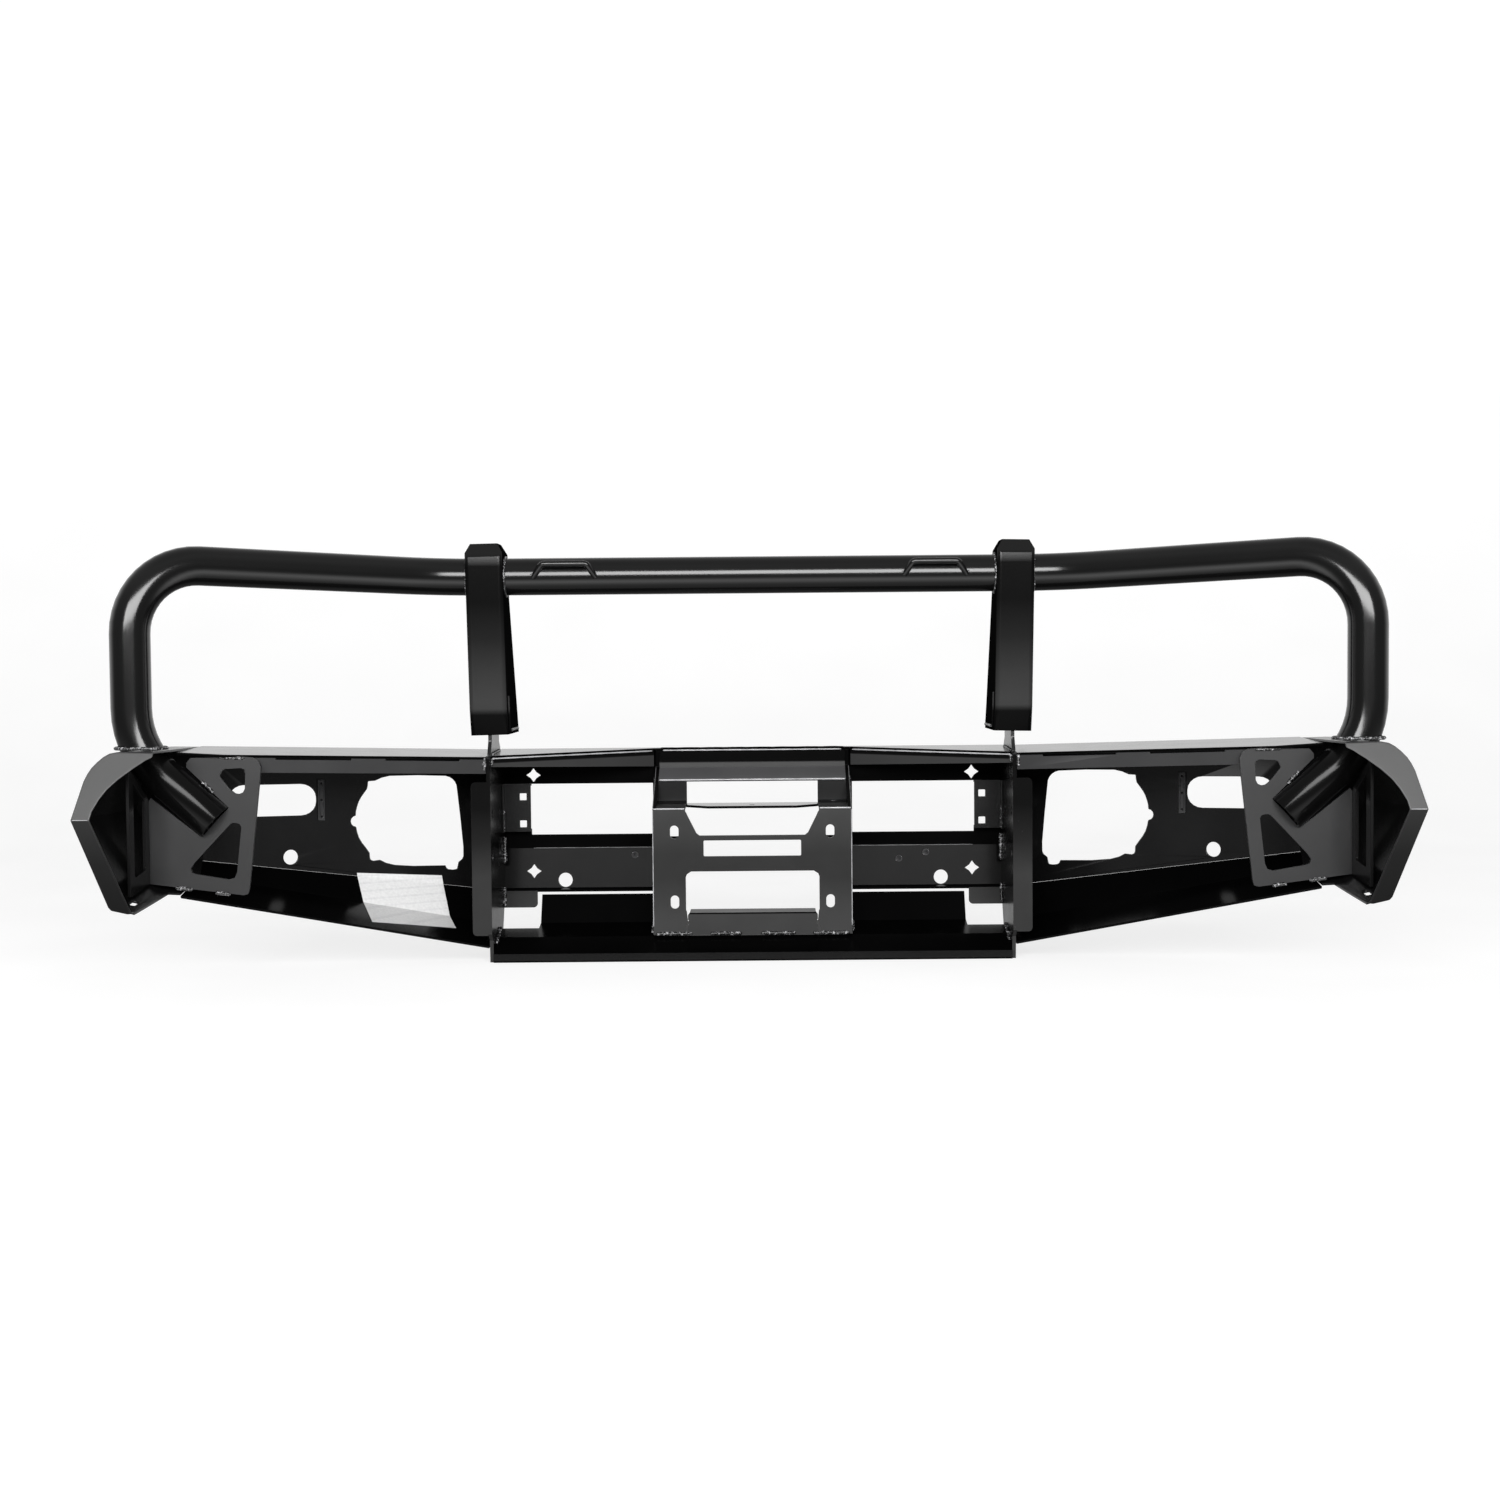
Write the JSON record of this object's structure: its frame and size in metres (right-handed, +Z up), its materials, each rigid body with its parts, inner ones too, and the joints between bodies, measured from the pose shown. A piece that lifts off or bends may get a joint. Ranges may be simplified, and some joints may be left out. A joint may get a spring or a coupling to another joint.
{
  "type": "front grille guard",
  "caption": "Black steel front grille guard for a four-wheel-drive vehicle: swept hoop tube, two uprights, folded body with lamp openings and a winch cradle.",
  "frame": {"origin": "centre of the underside of the overall box", "axes": "+X along the guard's width, towards the vehicle's left-hand side; +Y rearwards, towards the vehicle; +Z up"},
  "size_m": [1.943, 0.554, 0.6774],
  "materials": {
    "centre_front_web": "satin black powder coat",
    "centre_rear_lip_left": "satin black powder coat",
    "centre_rear_lip_right": "satin black powder coat",
    "centre_top_panel": "satin black powder coat",
    "chassis_rib_left": "satin black powder coat",
    "chassis_rib_right": "satin black powder coat",
    "corner_tab_left": "satin black powder coat",
    "corner_tab_right": "satin black powder coat",
    "data_label": "matt white film, blank",
    "grille_bracket_left": "satin black powder coat",
    "grille_bracket_right": "satin black powder coat",
    "hoop_tube": "satin black powder coat",
    "indicator_strip_left": "satin black powder coat",
    "indicator_strip_right": "satin black powder coat",
    "lower_tray": "satin black powder coat",
    "threaded_inserts": "zinc-plated steel",
    "tie_loop_left": "satin black powder coat",
    "tie_loop_right": "satin black powder coat",
    "tip_stiffener_left": "satin black powder coat",
    "tip_stiffener_right": "satin black powder coat",
    "tube_gusset_left": "satin black powder coat",
    "tube_gusset_right": "satin black powder coat",
    "upright_channel_left": "satin black powder coat",
    "upright_channel_right": "satin black powder coat",
    "upright_foot_doubler_left": "satin black powder coat",
    "upright_foot_doubler_right": "satin black powder coat",
    "upright_front_plate_left": "satin black powder coat",
    "upright_front_plate_right": "satin black powder coat",
    "upright_tab_left": "satin black powder coat",
    "upright_tab_right": "satin black powder coat",
    "winch_ear_left": "satin black powder coat",
    "winch_ear_right": "satin black powder coat",
    "winch_lower_plate": "satin black powder coat",
    "winch_mount_plate": "satin black powder coat",
    "winch_shelf": "satin black powder coat",
    "winch_side_plate_left": "satin black powder coat",
    "winch_side_plate_right": "satin black powder coat",
    "winch_top_lip": "satin black powder coat",
    "winch_top_rail": "satin black powder coat",
    "wing_floor_panel_left": "satin black powder coat",
    "wing_floor_panel_right": "satin black powder coat",
    "wing_front_panel_left": "satin black powder coat",
    "wing_front_panel_right": "satin black powder coat",
    "wing_lower_panel_left": "satin black powder coat",
    "wing_lower_panel_right": "satin black powder coat",
    "wing_rear_lip_left": "satin black powder coat",
    "wing_rear_lip_right": "satin black powder coat",
    "wing_tip_left": "satin black powder coat",
    "wing_tip_right": "satin black powder coat",
    "wing_tip_rim_left": "satin black powder coat",
    "wing_tip_rim_right": "satin black powder coat",
    "wing_top_panel_left": "satin black powder coat",
    "wing_top_panel_right": "satin black powder coat"
  },
  "bodies": {
    "root": {"centre_front_web": "centre_front_web", "centre_rear_lip_left": "centre_rear_lip_left", "centre_rear_lip_right": "centre_rear_lip_right", "centre_top_panel": "centre_top_panel", "chassis_rib_left": "chassis_rib_left", "chassis_rib_right": "chassis_rib_right", "corner_tab_left": "corner_tab_left", "corner_tab_right": "corner_tab_right", "data_label": "data_label", "grille_bracket_left": "grille_bracket_left", "grille_bracket_right": "grille_bracket_right", "hoop_tube": "hoop_tube", "indicator_strip_left": "indicator_strip_left", "indicator_strip_right": "indicator_strip_right", "lower_tray": "lower_tray", "threaded_inserts": "threaded_inserts", "tie_loop_left": "tie_loop_left", "tie_loop_right": "tie_loop_right", "tip_stiffener_left": "tip_stiffener_left", "tip_stiffener_right": "tip_stiffener_right", "tube_gusset_left": "tube_gusset_left", "tube_gusset_right": "tube_gusset_right", "upright_channel_left": "upright_channel_left", "upright_channel_right": "upright_channel_right", "upright_foot_doubler_left": "upright_foot_doubler_left", "upright_foot_doubler_right": "upright_foot_doubler_right", "upright_front_plate_left": "upright_front_plate_left", "upright_front_plate_right": "upright_front_plate_right", "upright_tab_left": "upright_tab_left", "upright_tab_right": "upright_tab_right", "winch_ear_left": "winch_ear_left", "winch_ear_right": "winch_ear_right", "winch_lower_plate": "winch_lower_plate", "winch_mount_plate": "winch_mount_plate", "winch_shelf": "winch_shelf", "winch_side_plate_left": "winch_side_plate_left", "winch_side_plate_right": "winch_side_plate_right", "winch_top_lip": "winch_top_lip", "winch_top_rail": "winch_top_rail", "wing_floor_panel_left": "wing_floor_panel_left", "wing_floor_panel_right": "wing_floor_panel_right", "wing_front_panel_left": "wing_front_panel_left", "wing_front_panel_right": "wing_front_panel_right", "wing_lower_panel_left": "wing_lower_panel_left", "wing_lower_panel_right": "wing_lower_panel_right", "wing_rear_lip_left": "wing_rear_lip_left", "wing_rear_lip_right": "wing_rear_lip_right", "wing_tip_left": "wing_tip_left", "wing_tip_right": "wing_tip_right", "wing_tip_rim_left": "wing_tip_rim_left", "wing_tip_rim_right": "wing_tip_rim_right", "wing_top_panel_left": "wing_top_panel_left", "wing_top_panel_right": "wing_top_panel_right"}
  },
  "joints": []
}
